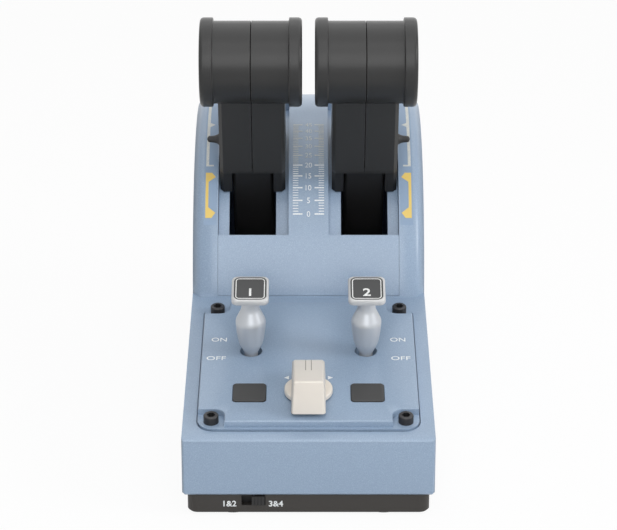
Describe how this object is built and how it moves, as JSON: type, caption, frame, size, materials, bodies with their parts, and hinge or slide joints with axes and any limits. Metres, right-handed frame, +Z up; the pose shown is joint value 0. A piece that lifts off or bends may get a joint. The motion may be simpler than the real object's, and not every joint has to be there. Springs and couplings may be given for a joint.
{
  "type": "throttle quadrant",
  "caption": "Desk throttle quadrant: twin thrust levers on a rounded hump, sloped panel with engine switches, rotary selector, push buttons and bank slider.",
  "frame": {"origin": "middle of the footprint on the surface that the rubber feet stand on", "axes": "+X to the user's right, +Y away from the user toward the rear wall, +Z up"},
  "size_m": [0.1, 0.23, 0.172],
  "materials": {
    "blue_housing": "satin moulded plastic with fine speckle",
    "black_pan": "fine matt texture",
    "black_rubber": "matt",
    "black_screw": "black oxide",
    "cream_knob": "satin",
    "steel": "ground",
    "inner_plastic": "plain moulded",
    "board_green": "solder mask",
    "dark_key": "satin",
    "satin_metal": "satin plated",
    "pale_cap": "satin",
    "friction_fibre": "pressed fibre",
    "brass": "turned",
    "lever_black": "matt moulded, slightly soft"
  },
  "bodies": {
    "base": {"upper_housing": "blue_housing", "sector_plate": "blue_housing", "base_pan": "black_pan", "rubber_feet": "black_rubber", "base_screws": "black_screw", "control_panel": "blue_housing", "panel_screws": "black_screw", "rotary_switch": "inner_plastic", "tact_switches": "board_green", "slide_switch": "black_pan", "lever_frame": "inner_plastic", "pivot_shaft": "steel", "shaft_clips": "steel", "frame_screws": "black_screw", "main_board": "board_green", "usb_socket": "steel", "usb_board": "board_green", "toggle_switch_left": "inner_plastic", "side_cover_left": "blue_housing", "friction_disc_left": "friction_fibre", "sensor_board_left": "board_green", "toggle_switch_right": "inner_plastic", "side_cover_right": "blue_housing", "friction_disc_right": "friction_fibre", "sensor_board_right": "board_green"},
    "lever_left": {"lever_arm_left": "lever_black", "lever_bush_left": "brass", "lever_magnet_left": "steel", "lever_block_outer_left": "lever_black", "lever_block_inner_left": "lever_black", "lever_pointer_left": "lever_black", "lever_head_outer_left": "lever_black", "lever_head_inner_left": "lever_black", "latch_pin_left": "steel"},
    "button_left": {"disconnect_button_left": "lever_black"},
    "latch_left": {"latch_lever_left": "lever_black"},
    "engine_switch_left": {"engine_switch_stick_left": "satin_metal", "engine_switch_cap_left": "pale_cap", "engine_switch_face_left": "dark_key"},
    "key_left": {"push_button_left": "dark_key"},
    "lever_right": {"lever_arm_right": "lever_black", "lever_bush_right": "brass", "lever_magnet_right": "steel", "lever_block_outer_right": "lever_black", "lever_block_inner_right": "lever_black", "lever_pointer_right": "lever_black", "lever_head_outer_right": "lever_black", "lever_head_inner_right": "lever_black", "latch_pin_right": "steel"},
    "button_right": {"disconnect_button_right": "lever_black"},
    "latch_right": {"latch_lever_right": "lever_black"},
    "engine_switch_right": {"engine_switch_stick_right": "satin_metal", "engine_switch_cap_right": "pale_cap", "engine_switch_face_right": "dark_key"},
    "key_right": {"push_button_right": "dark_key"},
    "selector": {"mode_knob": "cream_knob", "knob_shaft": "steel"},
    "bank_slider": {"slide_knob": "black_pan"}
  },
  "joints": [
    {"name": "thrust_lever_left", "type": "hinge", "parent": "base", "child": "lever_left", "pos_m": [-0.0242, 0.0719, 0.037], "axis": [-1, 0, 0], "range_deg": [-15.5, 16.5]},
    {"name": "disconnect_button_left", "type": "slide", "parent": "lever_left", "child": "button_left", "axis": [1, 0, 0], "range_m": [0, 0.0018], "stiffness_N_per_m": 400, "springref_m": -0.002},
    {"name": "latch_lever_left", "type": "hinge", "parent": "lever_left", "child": "latch_left", "pos_m": [-0.0242, 0.03496, 0.13553], "axis": [1, 0, 0], "range_deg": [0, 14], "stiffness_Nm_per_rad": 0.05, "springref_deg": -20.05},
    {"name": "engine_switch_left", "type": "hinge", "parent": "base", "child": "engine_switch_left", "pos_m": [-0.02365, -0.05594, 0.03745], "axis": [-1, 0, 0], "range_deg": [0, 14]},
    {"name": "push_button_left", "type": "slide", "parent": "base", "child": "key_left", "axis": [0, 0.1709, -0.9853], "range_m": [0, 0.0012], "stiffness_N_per_m": 500, "springref_m": -0.001},
    {"name": "thrust_lever_right", "type": "hinge", "parent": "base", "child": "lever_right", "pos_m": [0.0242, 0.0719, 0.037], "axis": [-1, 0, 0], "range_deg": [-15.5, 16.5]},
    {"name": "disconnect_button_right", "type": "slide", "parent": "lever_right", "child": "button_right", "axis": [-1, 0, 0], "range_m": [0, 0.0018], "stiffness_N_per_m": 400, "springref_m": -0.002},
    {"name": "latch_lever_right", "type": "hinge", "parent": "lever_right", "child": "latch_right", "pos_m": [0.0242, 0.03496, 0.13553], "axis": [1, 0, 0], "range_deg": [0, 14], "stiffness_Nm_per_rad": 0.05, "springref_deg": -20.05},
    {"name": "engine_switch_right", "type": "hinge", "parent": "base", "child": "engine_switch_right", "pos_m": [0.02365, -0.05594, 0.03745], "axis": [-1, 0, 0], "range_deg": [0, 14]},
    {"name": "push_button_right", "type": "slide", "parent": "base", "child": "key_right", "axis": [0, 0.1709, -0.9853], "range_m": [0, 0.0012], "stiffness_N_per_m": 500, "springref_m": -0.001},
    {"name": "mode_selector", "type": "hinge", "parent": "base", "child": "selector", "pos_m": [0, -0.08702, 0.03815], "axis": [0, -0.1709, 0.9853], "range_deg": [-45, 45]},
    {"name": "bank_slider", "type": "slide", "parent": "base", "child": "bank_slider", "axis": [1, 0, 0], "range_m": [-0.0038, 0]}
  ]
}
